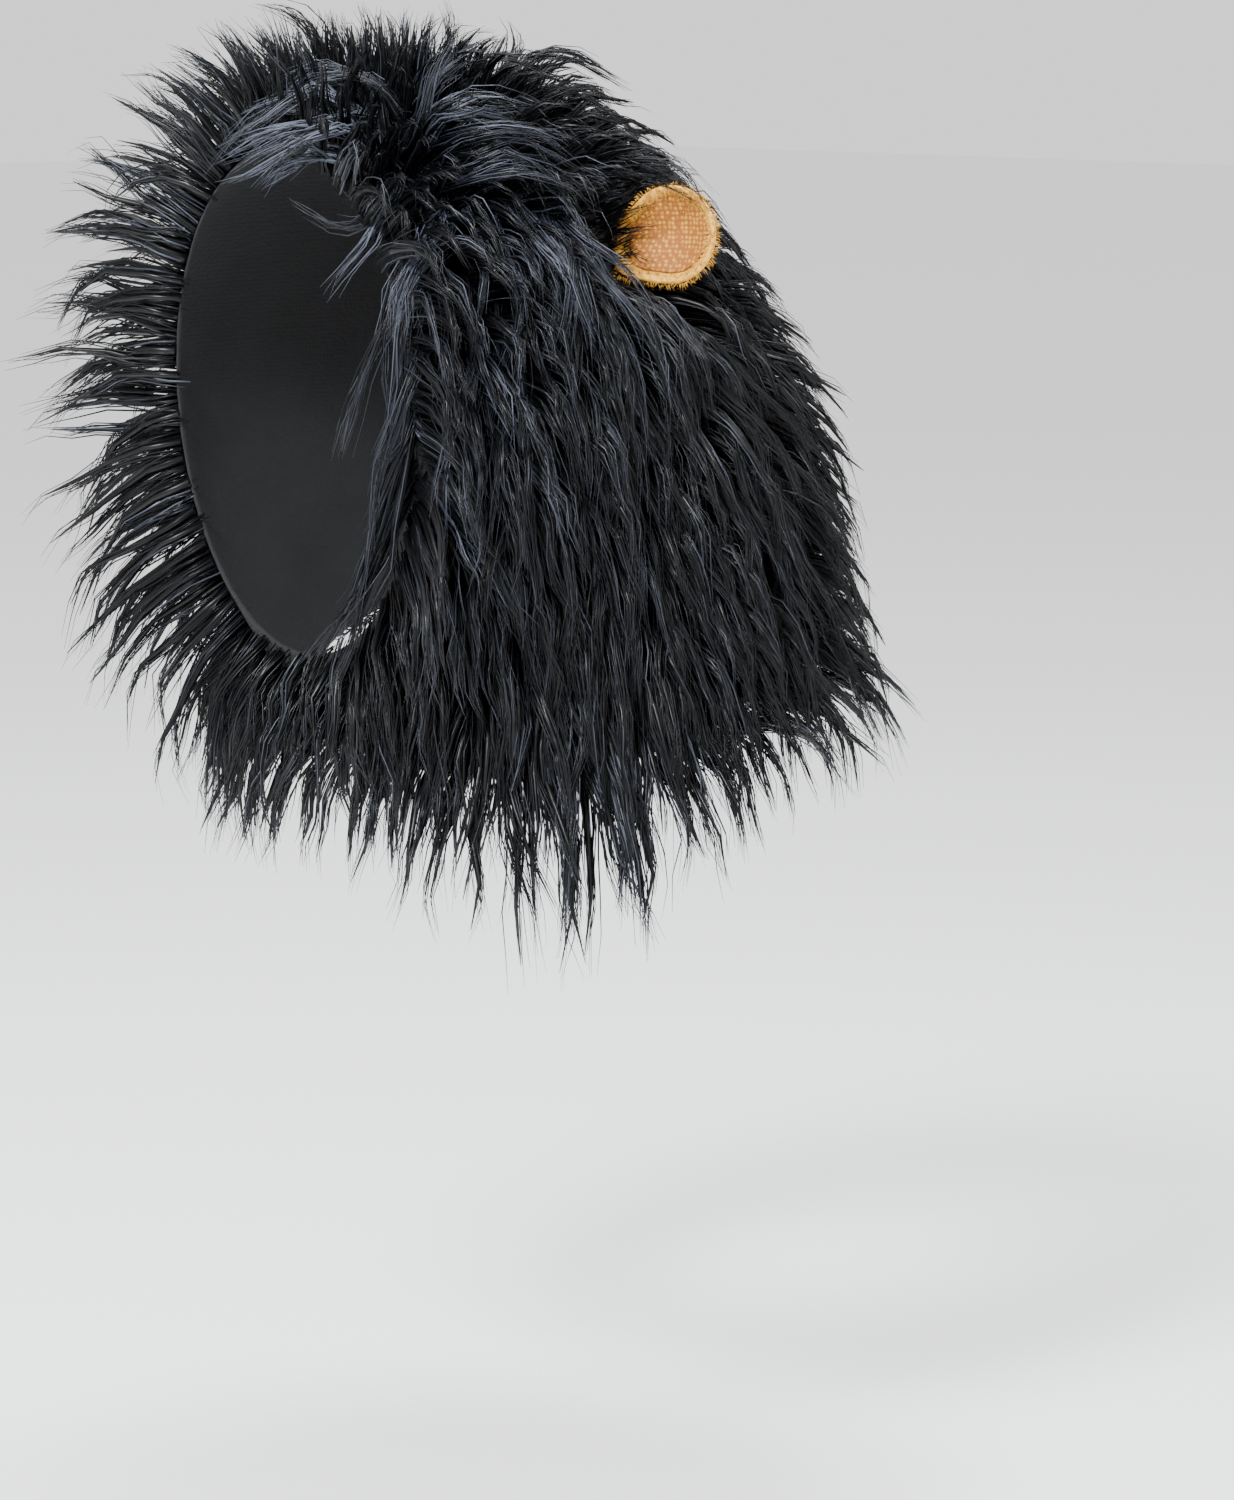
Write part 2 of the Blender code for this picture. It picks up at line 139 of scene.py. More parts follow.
# They keep this far from the hood, which is looked for this far around.
HOOD_GAP = 2.0 * MILLIMETRE
HOOD_NEAR = 0.05

# Strands. A strand's tone is its lightness: most are near black, a little lighter or darker at random,
# and some carry a painted highlight, lighter and blue-grey, more of them at the front and on the near
# side.
BUNDLE_RADIUS = 0.0062
STRAND_RINGS = 7
STRAND_SIDES = 3
STRANDS_TO_LOCK = {"crown_fur": 10, "left_side_fur": 14, "right_side_fur": 10, "bib_fur": 11}
STRAND_WIDTH = 0.00085
STRAND_WIDTHS = (0.65, 1.25)
STRAND_SLIM = ((0.0, 0.15, 0.6, 1.0), (0.8, 1.0, 0.8, 0.14))
STRAND_REACH = (0.62, 0.97)
STRAND_GATHER = 0.80
STRAND_GATHER_POWER = 0.7
STRAND_TWIST = 0.8
STRAND_WAVE_RATES = (6.0, 15.0)
STRAND_WAVE_SIZES = (0.2, 1.3)
LOOSE_SHARE = 0.22
LOOSE_SPLAY = (-0.3, 1.1)
# Strands with a painted highlight take their lock's tone times one of these, the others one of the dark
# tones. More strands carry a painted highlight at the front of each panel, most on the near left side.
HIGHLIGHT_TONES = (0.7, 1.3)
DARK_TONES = (0.1, 0.7)
HIGHLIGHT_SHARE = 0.14
HIGHLIGHT_SHARES = {"crown_fur": 0.20, "left_side_fur": 0.36, "right_side_fur": 0.14, "bib_fur": 0.24}

# The dense core of each lock.
CORE_RINGS = 5
CORE_SIDES = 4
CORE_WIDTH = 0.0040
CORE_WIDTHS = (0.8, 1.2)
CORE_SLIM = ((0.0, 0.3, 0.7, 1.0), (1.0, 0.85, 0.45, 0.06))
CORE_REACH = (0.74, 0.90)
CORE_TONE = 0.1

# Room at each ear that hair stays out of. Hair that would enter it ends this many rings before
# it, and is left out where less than this share of it would be left.
EAR_ROOM_RADIUS = 0.0245
EAR_ROOM_BEHIND = 0.016
EAR_ROOM_BEFORE = 0.045
EAR_ROOM_ROOTWARD = 0.013
STRAND_STOP = 0.6
CORE_STOP = 0.9
LEAST_REACH = 0.16

# Locks that show by themselves in the photograph. Spots are centimetres to the right of the seat
# and above it, in the photograph's plane, from the root to the tip. They lie this high over the
# hood, in centimetres, and each is made of several locks that spread apart by this much.
# A feature's tone sets how light its painted highlight strands are: high on the bangs and falls that
# face the key lamp, low at the outline.
Feature = namedtuple("Feature", "spots lift count spread tone")
FEATURES = (
    Feature(((-0.1, -3.1), (-3.0, 0.0), (-5.9, -0.9), (-7.7, -2.6)), 2.6, 6, 0.7, 2.6),
    Feature(((-0.5, -2.6), (-2.4, -1.5), (-5.0, -2.0), (-7.5, -3.4)), 2.2, 6, 0.6, 2.8),
    Feature(((-0.7, -3.1), (-2.9, -2.4), (-4.5, -3.1), (-6.0, -4.0)), 1.8, 5, 0.5, 2.4),
    Feature(((-0.7, -3.3), (-1.4, -4.7), (-2.9, -5.2), (-4.9, -3.9)), 1.5, 1, 0.2, 1.6),
    Feature(((-0.3, -3.5), (-1.0, -5.0), (-2.0, -6.4), (-3.4, -8.2)), 2.2, 2, 0.3, 3.0),
    Feature(((0.3, -3.5), (1.1, -5.6), (-0.1, -7.9), (-0.8, -10.2)), 3.0, 4, 0.5, 2.8),
    Feature(((1.1, -3.5), (1.4, -5.8), (0.9, -7.9), (0.0, -10.4)), 3.6, 4, 0.6, 2.6),
    Feature(((2.2, -3.3), (3.3, -6.0), (4.0, -8.1), (3.7, -11.0)), 4.0, 4, 0.5, 2.8),
    Feature(((3.2, -2.9), (5.1, -5.6), (6.1, -7.7), (5.5, -11.2)), 4.2, 4, 0.6, 2.4),
    Feature(((4.3, -2.9), (6.2, -5.7), (6.8, -7.9), (7.6, -10.8)), 4.2, 4, 0.6, 2.2),
    Feature(((5.1, -3.3), (6.6, -5.4), (8.1, -7.7), (9.7, -10.0)), 4.0, 4, 0.6, 2.0),
    Feature(((0.5, -2.2), (1.6, -1.0), (3.0, -0.3), (5.1, -0.7)), 3.2, 5, 0.6, 2.6),
    Feature(((0.9, -2.4), (2.6, -1.6), (4.7, -1.6), (7.2, -2.8)), 3.6, 5, 0.6, 2.4),
    Feature(((1.1, -2.9), (2.4, -3.1), (4.7, -2.9), (7.0, -3.8)), 3.4, 4, 0.5, 2.2),
    Feature(((-0.1, -2.2), (0.3, -0.1), (1.3, 1.1), (2.8, 2.2)), 3.2, 4, 0.6, 1.8),
    Feature(((-0.5, -2.2), (-1.4, 0.3), (-2.9, 0.9), (-5.2, 0.1)), 3.0, 4, 0.6, 1.8),
    Feature(((-3.1, -0.6), (-3.7, 2.2), (-4.6, 3.7), (-6.4, 4.2)), 3.0, 2, 0.25, 0.9),
    Feature(((1.0, -0.4), (1.4, 1.4), (1.5, 3.0), (1.3, 4.4)), 3.0, 2, 0.3, 0.9),
    Feature(((3.4, -0.9), (3.8, 0.9), (4.1, 2.6), (3.8, 3.8)), 3.0, 2, 0.3, 0.9),
    Feature(((3.9, -1.4), (4.9, 1.3), (6.6, 1.8), (9.3, 0.4)), 3.0, 3, 0.35, 0.9),
    Feature(((3.9, -1.6), (5.4, 0.3), (7.2, 0.6), (8.8, -0.9)), 3.0, 3, 0.4, 0.9),
    Feature(((0.9, -5.6), (-0.2, -8.4), (-0.9, -11.6), (-1.5, -15.2)), 1.6, 4, 0.6, 1.8),
    Feature(((0.8, -9.0), (-0.3, -12.2), (-1.0, -15.6), (-1.9, -19.2)), 1.6, 4, 0.7, 1.5),
    Feature(((0.5, -12.6), (-0.6, -16.0), (-1.5, -19.4), (-2.7, -22.4)), 1.6, 4, 0.7, 1.4),
    Feature(((0.0, -15.8), (-1.2, -18.6), (-2.2, -21.2), (-3.6, -23.8)), 1.5, 4, 0.7, 1.3),
    Feature(((2.2, -7.6), (2.6, -11.0), (2.2, -14.6), (1.2, -18.4)), 3.4, 4, 0.9, 2.0),
    Feature(((3.6, -9.0), (4.4, -12.4), (4.2, -16.2), (3.4, -20.2)), 4.0, 4, 1.0, 1.9),
)

FEATURE_STRANDS = 18
FEATURE_RADIUS = 0.0042
# Share of their strands that carry a painted highlight.
FEATURE_HIGHLIGHT_SHARE = 0.60
FEATURE_CALM = 0.45
FEATURE_LIFTS = (0.75, 1.15)
SPOT_SHIFT = 0.5
ROOT_SHIFT_SHARE = 0.6
START_DEPTH = 0.08
RAY_START = 0.5
LEAST_FACING = 0.45

# Wisps that cross the near ear's base and pass over its top, this far before its face.
EAR_WISPS = (
    Feature(((5.6, -3.6), (6.9, -4.5), (8.3, -4.2), (9.5, -3.7)), 0.3, 5, 0.5, 1.2),
    Feature(((5.8, -4.4), (7.2, -5.0), (8.6, -4.9), (9.7, -4.6)), 0.3, 5, 0.6, 1.0),
    Feature(((6.0, -4.8), (7.4, -5.7), (8.6, -6.2), (9.8, -6.6)), 0.3, 5, 0.5, 1.2),
    Feature(((5.9, -1.4), (7.8, -2.3), (10.4, -2.7), (12.6, -4.3)), 0.5, 6, 0.6, 1.0),
    Feature(((6.4, -2.2), (8.2, -3.0), (9.8, -3.0), (11.6, -3.3)), 0.4, 4, 0.4, 0.8),
)
EAR_WISP_STRANDS = 12
EAR_WISP_RADIUS = 0.0028
EAR_WISP_CALM = 0.3

# Fine plush of the ears.
PLUSH_FIBRES = 2600
PLUSH_LENGTH = 0.0024
PLUSH_LENGTHS = (0.5, 1.1)
PLUSH_WIDTH = 0.00034
PLUSH_WIDTHS = (0.7, 1.3)
PLUSH_TIP_SHARE = 0.3
PLUSH_SPLAY = 0.35
PLUSH_DROOP = 0.25
PLUSH_RINGS = 3

# Cell of one tube on its texture: the wall, and beside it the discs of the two ends.
CELL_SHAPE = 4.0
WALL_START = 0.02
WALL_LENGTH = 0.88
WALL_LOW = 0.05
WALL_HEIGHT = 0.90
DISC_WIDTH = 0.03
DISC_HEIGHT = 0.18
DISC_ACROSS = 0.95
DISC_HEIGHTS = (0.28, 0.72)

# Looks. Ramps are (place, colour) stops, and bumps are (strength, height in metres).
SMOOTH_LEVELS = 2
FUR_COLOUR = (0.012, 0.013, 0.016)
# The pile's ramp runs from near black to the blue-grey of a painted highlight.
FUR_RAMP = (
    (0.0, (0.0022, 0.0022, 0.0026)),
    (1.0, (0.072, 0.080, 0.105)),
    (0.4, (0.0060, 0.0064, 0.0082)),
)
FUR_ROUGHNESS = 0.36
FUR_SPECULAR = 0.25
TONE_TO_RAMP = 0.36
KNIT_COLOUR = (0.010, 0.010, 0.011)
KNIT_RAMP = ((0.0, (0.0025, 0.0025, 0.0028)), (1.0, (0.0085, 0.0085, 0.0095)))
KNIT_ROUGHNESS = 0.92
KNIT_LOOPS_SCALE = 560.0
KNIT_LOOPS_RANDOM = 0.5
KNIT_WEAR_SCALE = 38.0
KNIT_BUMP = (0.5, 0.0006)
MESH_COLOUR = (0.62, 0.24, 0.05)
MESH_RAMP = ((0.16, (0.74, 0.36, 0.045)), (0.52, (0.35, 0.105, 0.007)))
MESH_ROUGHNESS = 0.75
MESH_HOLES_SCALE = 520.0
MESH_HOLES_RANDOM = 0.35
MESH_PATCH_SCALE = 55.0
MESH_PATCH_SHARE = 0.35
MESH_BUMP = (0.7, 0.0005)
PLUSH_DARK = (0.52, 0.22, 0.022)
PLUSH_LIGHT = (0.88, 0.50, 0.065)
PLUSH_STOPS = (0.35, 0.65)
PLUSH_ROUGHNESS = 0.7
PLUSH_TUFTS_SCALE = 420.0
PLUSH_BUMP = (0.4, 0.0004)


def set_socket(node, name, value):
    node.inputs[name].default_value = value


def new_material(name, colour, roughness):
    material = bpy.data.materials.new(name)
    material.use_nodes = True
    shader = material.node_tree.nodes["Principled BSDF"]
    set_socket(shader, "Base Color", (*colour, 1.0))
    set_socket(shader, "Roughness", roughness)
    return material, material.node_tree, shader


def add_node(tree, kind, **settings):
    node = tree.nodes.new(kind)
    for name, value in settings.items():
        setattr(node, name, value)
    return node


def add_ramp(tree, first, last, *between):
    ramp = add_node(tree, "ShaderNodeValToRGB")
    stops = ramp.color_ramp.elements
    for stop, (place, colour) in zip(stops, (first, last)):
        stop.position = place
        stop.color = (*colour, 1.0)
    for place, colour in between:
        stops.new(place).color = (*colour, 1.0)
    return ramp


def add_bump(tree, strength, height):
    bump = add_node(tree, "ShaderNodeBump")
    set_socket(bump, "Strength", strength)
    set_socket(bump, "Distance", height)
    return bump


def add_links(tree, *pairs):
    for start, end in pairs:
        tree.links.new(start, end)


def way_to_camera(elevation):
    return np.array([
        math.sin(CAMERA_AZIMUTH) * math.cos(elevation),
        -math.cos(CAMERA_AZIMUTH) * math.cos(elevation),
        math.sin(elevation),
    ])


def make_camera():
    """The camera, and its aim, its right, the way back to it and the way from the wig to it."""
    back = way_to_camera(CAMERA_ELEVATION)
    right = np.array([math.cos(CAMERA_AZIMUTH), math.sin(CAMERA_AZIMUTH), 0.0])
    aim = right * CAMERA_AIM_RIGHT - UP * CAMERA_AIM_DOWN
    data = bpy.data.cameras.new("camera")
    data.sensor_fit = "AUTO"
    data.sensor_width = SENSOR
    data.lens = SENSOR * CAMERA_DISTANCE / VIEW_HEIGHT
    camera = bpy.data.objects.new("camera", data)
    bpy.context.scene.collection.objects.link(camera)
    camera.location = aim + back * CAMERA_DISTANCE
    camera.rotation_mode = "QUATERNION"
    camera.rotation_quaternion = Vector(-back).to_track_quat("-Z", "Y")
    bpy.context.scene.camera = camera
    return aim, right, back, way_to_camera(WIG_ELEVATION)


def add_light(name, place, target, power, size, colour):
    data = bpy.data.lights.new(name, "AREA")
    data.energy = power
    data.size = size
    data.color = colour
    light = bpy.data.objects.new(name, data)
    bpy.context.scene.collection.objects.link(light)
    light.location = place
    light.rotation_mode = "QUATERNION"
    light.rotation_quaternion = (Vector(target) - Vector(place)).to_track_quat("-Z", "Y")


def make_studio(aim, right, back):
    world = bpy.data.worlds.new("studio")
    bpy.context.scene.world = world
    world.use_nodes = True
    background = world.node_tree.nodes["Background"]
    set_socket(background, "Color", (1.0, 1.0, 1.0, 1.0))
    set_socket(background, "Strength", WORLD_STRENGTH)

    bpy.ops.mesh.primitive_plane_add(size=FLOOR_SIZE, location=(0.0, 0.0, -FLOOR_BELOW_SEAT))
    floor = bpy.context.object
    floor.name = "floor"
    floor.data.materials.append(new_material("floor_paint", (FLOOR_GREY,) * 3, 0.9)[0])

    middle = aim + UP * LAMP_TARGET_ABOVE_AIM
    level = back * np.array([1.0, 1.0, 0.0])
    for lamp in LAMPS:
        place = middle + right * lamp.right + level * lamp.before + UP * lamp.above
        add_light(lamp.name, place, middle, lamp.power, lamp.size, lamp.colour)


def welded(mesh):
    """Vertices and triangles of a mesh, with the vertices at one place joined."""
    places = np.empty(len(mesh.vertices) * 3, np.float32)
    mesh.vertices.foreach_get("co", places)
    places = places.reshape(-1, 3).astype(float)
    keys = np.round(places / WELD_DISTANCE).astype(np.int64)
    _, first, inverse = np.unique(keys, axis=0, return_index=True, return_inverse=True)
    mesh.calc_loop_triangles()
    corners = np.empty(len(mesh.loop_triangles) * 3, np.int32)
    mesh.loop_triangles.foreach_get("vertices", corners)
    return places[first], inverse.reshape(-1)[corners].reshape(-1, 3)


def tree_of(points):
    tree = KDTree(len(points))
    for index, point in enumerate(points):
        tree.insert(point, index)
    tree.balance()
    return tree


class Hood:
    """The outer side of the hood: its triangles, their areas and the way out of them."""

    def __init__(self):
        places, triangles = welded(frame["nodes"]["hood"].data)
        middle = places.mean(0)
        a, b, c = (places[triangles[:, corner]] for corner in range(3))
        normals = np.cross(b - a, c - a)
        sizes = np.linalg.norm(normals, axis=1)
        normals /= sizes[:, None]
        outside = (a + b + c) / 3.0 - middle
        facing = (outside * normals).sum(1) > 0.0
        self.corners = np.stack([a, b, c], 1)[facing]
        self.normals = normals[facing]
        self.areas = sizes[facing] / 2.0
        self.centres = self.corners.mean(1)
        self.tree = tree_of(self.centres)
        self.surface = BVHTree.FromPolygons(
            self.corners.reshape(-1, 3).tolist(),
            np.arange(len(self.corners) * 3).reshape(-1, 3).tolist(),
        )

    def spread(self, dice, count):
        """Random points on the outside."""
        chosen = dice.choice(len(self.areas), count, p=self.areas / self.areas.sum())
        u, v = dice.random((2, count))
        over = u + v > 1.0
        u[over] = 1.0 - u[over]
        v[over] = 1.0 - v[over]
        corners = self.corners[chosen]
        points = (
            corners[:, 0]
            + (corners[:, 1] - corners[:, 0]) * u[:, None]
            + (corners[:, 2] - corners[:, 0]) * v[:, None]
        )
        return points, self.normals[chosen]


def read_locks(hood):
    """The middle lines of the fur nodes' locks, as root, two rings and tip, with each one's node."""
    lines = []
    nodes = []
    for name in FUR_NODES:
        places, triangles = welded(frame["nodes"][name].data)
        around = [set() for _ in places]
        for a, b, c in triangles:
            around[a].update((b, c))
            around[b].update((a, c))
            around[c].update((a, b))
        for tip, near in enumerate(around):
            if len(near) != FRAME_LOCK_SIDES:
                continue
            if any(len(around[index]) != TIP_RING_LINKS for index in near):
                continue
            ring = set()
            for index in near:
                ring |= around[index]
            ring -= near | {tip}
            feet = set()
            for index in ring:
                feet |= around[index]
            feet -= ring | near
            lines.append([places[list(group)].mean(0) for group in (feet, ring, near, {tip})])
            nodes.append(name)
    lines = np.array(lines)
    nodes = np.array(nodes)
    lengths = np.linalg.norm(np.diff(lines, axis=1), axis=2).sum(1)
    tree = tree_of(lines[:, 0])
    usual = np.array([
        np.median([lengths[item[1]] for item in tree.find_n(line[0], LOCKS_AROUND)])
        for line in lines
    ])
    whole = lengths > WHOLE_LOCK_SHARE * usual
    return lines[whole], nodes[whole]


def spaced_out(points, spacing):
    """Indices of points that keep this far from each other."""
    cells = {}
    kept = []
    for index, point in enumerate(points):
        key = tuple((point // spacing).astype(int))
        near = False
        for x in (-1, 0, 1):
            for y in (-1, 0, 1):
                for z in (-1, 0, 1):
                    for other in cells.get((key[0] + x, key[1] + y, key[2] + z), ()):
                        near = near or np.linalg.norm(points[other] - point) < spacing
        if not near:
            cells.setdefault(key, []).append(index)
            kept.append(index)
    return kept


def smooth_line(knots, samples):
    """Catmull-Rom curves through the knots, (count, knots, 3) to (count, samples, 3)."""
    count = knots.shape[1]
    before = 2.0 * knots[:, :1] - knots[:, 1:2]
    after = 2.0 * knots[:, -1:] - knots[:, -2:-1]
    padded = np.concatenate([before, knots, after], 1)
    spots = np.linspace(0.0, count - 1.0, samples)
    low = np.minimum(spots.astype(int), count - 2)
    t = (spots - low)[None, :, None]
    p0, p1, p2, p3 = (padded[:, low + step] for step in range(4))
    return 0.5 * (
        2.0 * p1
        + (p2 - p0) * t
        + (2.0 * p0 - 5.0 * p1 + 4.0 * p2 - p3) * t ** 2
        + (3.0 * p1 - p0 - 3.0 * p2 + p3) * t ** 3
    )


def even_steps(lines):
    """The same lines with their points at even distances."""
    steps = np.linalg.norm(np.diff(lines, axis=1), axis=2)
    walked = np.concatenate([np.zeros((len(lines), 1)), np.cumsum(steps, 1)], 1)
    walked /= walked[:, -1:]
    shares = np.linspace(0.0, 1.0, lines.shape[1])
    out = np.empty_like(lines)
    for index, line in enumerate(lines):
        for axis in range(3):
            out[index, :, axis] = np.interp(shares, walked[index], line[:, axis])
    return out


def unit(vectors):
    return vectors / np.maximum(np.linalg.norm(vectors, axis=-1, keepdims=True), LEAST_LENGTH)


def at_share(lines, owners, shares):
    """Points on lines[owners] at the shares (count, rings) of their lengths."""
    spots = np.clip(shares, 0.0, 1.0) * (lines.shape[1] - 1)
    low = np.minimum(spots.astype(int), lines.shape[1] - 2)
    past = (spots - low)[..., None]
    return lines[owners[:, None], low] * (1.0 - past) + lines[owners[:, None], low + 1] * past


def tube_mesh(name, groups, material):
    """One mesh of closed tapering tubes. Each group is (paths, widths, tones, sides)."""
    points = []
    quads = []
    caps = {}
    quad_uv = []
    cap_uv = {}
    tone = []
    start = 0
    total = sum(len(group[0]) for group in groups)
    across = int(math.ceil(math.sqrt(total / CELL_SHAPE)))
    down = int(math.ceil(total / across))
    cell = np.array([1.0 / across, 1.0 / down])
    placed = 0
    for paths, widths, tones, sides in groups:
        count, rings = paths.shape[:2]
        ahead = unit(np.gradient(paths, axis=1))
        side = np.cross(ahead[:, 0], UP)
        side = unit(side + np.array([SIDE_NUDGE, 2.0 * SIDE_NUDGE, 0.0]))
        loops = []
        for ring in range(rings):
            tangent = ahead[:, ring]
            side = unit(side - tangent * (side * tangent).sum(1, keepdims=True))
            other = np.cross(tangent, side)
            radius = widths[:, ring, None] / 2.0
            loops.append(np.stack([
                paths[:, ring]
                + (side * math.cos(turn) + other * math.sin(turn)) * radius
                for turn in (2.0 * math.pi * corner / sides for corner in range(sides))
            ], 1))
        points.append(np.stack(loops, 1).reshape(-1, 3))
        tone.append(np.repeat(tones, rings * sides))
        base = start + np.arange(count)[:, None, None] * rings * sides
        ring = np.arange(rings - 1)[None, :, None] * sides
        corner = np.arange(sides)[None, None, :]
        following = (corner + 1) % sides
        quads.append(np.stack([
            base + ring + corner, base + ring + following,
            base + ring + sides + following, base + ring + sides + corner,
        ], -1).reshape(-1, 4))
        order = placed + np.arange(count)
        origin = np.stack([order % across, order // across], 1) * cell
        u0 = (np.arange(rings - 1) / (rings - 1) * WALL_LENGTH + WALL_START)[None, :, None]
        u1 = (np.arange(1, rings) / (rings - 1) * WALL_LENGTH + WALL_START)[None, :, None]
        v0 = (np.arange(sides) / sides * WALL_HEIGHT + WALL_LOW)[None, None, :]
        v1 = (np.arange(1, sides + 1) / sides * WALL_HEIGHT + WALL_LOW)[None, None, :]
        shape = (count, rings - 1, sides)
        local = np.stack([
            np.stack(np.broadcast_arrays(u, v), -1) for u, v in ((u0, v0), (u0, v1), (u1, v1), (u1, v0))
        ], -2)
        local = np.broadcast_to(local, (*shape, 4, 2))
        quad_uv.append((origin[:, None, None, None] + local * cell).reshape(-1, 2))
        ends = start + np.arange(count)[:, None] * rings * sides + np.arange(sides)[None]
        spots = np.linspace(0.0, 2.0 * math.pi, sides, endpoint=False)
        disc = np.stack([DISC_WIDTH * np.cos(spots), DISC_HEIGHT * np.sin(spots)], 1)
        for loop, height in zip((ends[:, ::-1], ends + (rings - 1) * sides), DISC_HEIGHTS):
            caps.setdefault(sides, []).append(loop)
            cap_uv.setdefault(sides, []).append(
                (origin[:, None] + (disc + (DISC_ACROSS, height)) * cell).reshape(-1, 2)
            )
        start += count * rings * sides
        placed += count
    points = np.concatenate(points)
    loops = [np.concatenate(quads).ravel()]
    sizes = [np.full(len(loops[0]) // 4, 4)]
    maps = [np.concatenate(quad_uv)]
    for sides in caps:
        corners = np.concatenate(caps[sides])
        loops.append(corners.ravel())
        sizes.append(np.full(len(corners), sides))
        maps.append(np.concatenate(cap_uv[sides]))
    loops = np.concatenate(loops)
    sizes = np.concatenate(sizes)
    mesh = bpy.data.meshes.new(name)
    mesh.vertices.add(len(points))
    mesh.vertices.foreach_set("co", points.astype(np.float32).ravel())
    mesh.loops.add(len(loops))
    mesh.loops.foreach_set("vertex_index", loops.astype(np.int32))
    mesh.polygons.add(len(sizes))
    mesh.polygons.foreach_set("loop_start", (np.cumsum(sizes) - sizes).astype(np.int32))
    mesh.update(calc_edges=True)
    mesh.shade_smooth()
    layer = mesh.uv_layers.new(name="OFBake")
    layer.data.foreach_set("uv", np.concatenate(maps).astype(np.float32).ravel())
    attribute = mesh.attributes.new("tone", "FLOAT", "POINT")
    attribute.data.foreach_set("value", np.concatenate(tone).astype(np.float32))
    mesh.validate()
    mesh.materials.append(material)
    piece = bpy.data.objects.new(name, mesh)
    bpy.context.scene.collection.objects.link(piece)
    return piece


def guided_lines(roots, lines, tree):
    """A smooth line from each root, by the nearest locks of the frame, and the nearest one's index."""
    knots = np.empty((len(roots), *lines.shape[1:]))
    nearest = np.empty(len(roots), int)
    for index, root in enumerate(roots):
        found = tree.find_n(root, GUIDES_TO_LOCK)
        order = [item[1] for item in found]
        gaps = np.array([item[2] for item in found])
        weights = 1.0 / (gaps ** 2 + GUIDE_BLEND ** 2)
        weights /= weights.sum()
        steps = lines[order] - lines[order][:, :1]
        knots[index] = root + (steps * weights[:, None, None]).sum(0)
        nearest[index] = order[0]
    return even_steps(smooth_line(knots, HAIR_SAMPLES)), nearest


def smooth_step(values, low, high):
    share = np.clip((values - low) / (high - low), 0.0, 1.0)
    return share * share * (3.0 - 2.0 * share)


def style_lines(lines, dice, calm=1.0):
    """Each lock leans and waves in its own way, more towards its tip."""
    count, samples = lines.shape[:2]
    share = np.linspace(0.0, 1.0, samples)[None, :, None]
    length = np.linalg.norm(lines[:, -1] - lines[:, 0], axis=1)[:, None, None]
    ahead = unit(lines[:, -1] - lines[:, 0])
    sideways = unit(np.cross(ahead, UP) + SIDE_NUDGE)
    lift = unit(np.cross(sideways, ahead))
    lean = dice.normal(0.0, LEAN * calm, (count, 2, 1, 1))
    moved = sideways[:, None] * lean[:, 0] + lift[:, None] * lean[:, 1]
    moved = moved * length * share ** LEAN_POWER
    waves = np.zeros_like(lines)
    for reach, cycles in WAVES:
        phase = dice.uniform(0.0, 2.0 * math.pi, (count, 2, 1, 1))
        rate = dice.uniform(*WAVE_RATES, (count, 2, 1, 1)) * cycles * 2.0 * math.pi
        size = dice.uniform(*WAVE_SIZES, (count, 2, 1, 1)) * reach * calm
        bend = np.sin(rate * share[:, None] + phase) - np.sin(phase)
        waves += sideways[:, None] * (bend * size)[:, 0] + lift[:, None] * (bend * size)[:, 1]
    return lines + moved + waves * length * share ** WAVE_POWER


def lay_near_side(lines, normals, toward):
    """The hair that faces the camera lies flatter than the hair at the outline."""
    flatter = NEAR_FLATTER * smooth_step(normals @ toward, *NEAR_FLATTER_SPAN)
    offset = lines - lines[:, :1]
    out = (offset * normals[:, None]).sum(2, keepdims=True)
    share = np.linspace(0.0, 1.0, lines.shape[1])[None, :, None]
    return lines - normals[:, None] * out * flatter[:, None, None] * share ** LAY_POWER


def swing_down(lines, weights):
    """Turns the lines towards the ground, more along their length, with their lengths kept."""
    steps = np.diff(lines, axis=1)
    lengths = np.linalg.norm(steps, axis=2, keepdims=True)
    share = np.linspace(0.0, 1.0, steps.shape[1])[None, :, None]
    pull = weights[:, None, None] * share ** SWING_POWER
    turned = unit(unit(steps) * (1.0 - pull) - UP * pull)
    walked = np.cumsum(turned * lengths, 1)
    return np.concatenate([lines[:, :1], lines[:, :1] + walked], 1)


def lie_on_hood(lines, hood):
    """Keeps the lines out of the hood."""
    for line in lines:
        for point in line[2:]:
            _, index, distance = hood.tree.find(point)
            if distance < HOOD_NEAR:
                normal = hood.normals[index]
                height = (point - hood.centres[index]) @ normal
                if height < HOOD_GAP:
                    point += normal * (HOOD_GAP - height)
    return lines


class EarRoom:
    """The space at and before an ear, which hair stays out of."""

    def __init__(self, side, hood):
        lining = welded(frame["nodes"][side + "_ear_inner"].data)[0]
        self.centre = lining.mean(0)
        self.faces = np.linalg.svd(lining - self.centre)[2][2]
        if self.faces[1] > 0.0:
            self.faces = -self.faces
        root = np.array(hood.centres[hood.tree.find(self.centre)[1]])
        self.points = unit(self.centre - root)

    def holds(self, points):
        offset = points - self.centre
        ahead = offset @ self.faces
        flat = offset - ahead[..., None] * self.faces
        tipward = offset @ self.points
        near = np.linalg.norm(flat, axis=-1) < EAR_ROOM_RADIUS
        level = (ahead > -EAR_ROOM_BEHIND) & (ahead < EAR_ROOM_BEFORE)
        return near & level & (tipward > -EAR_ROOM_ROOTWARD)


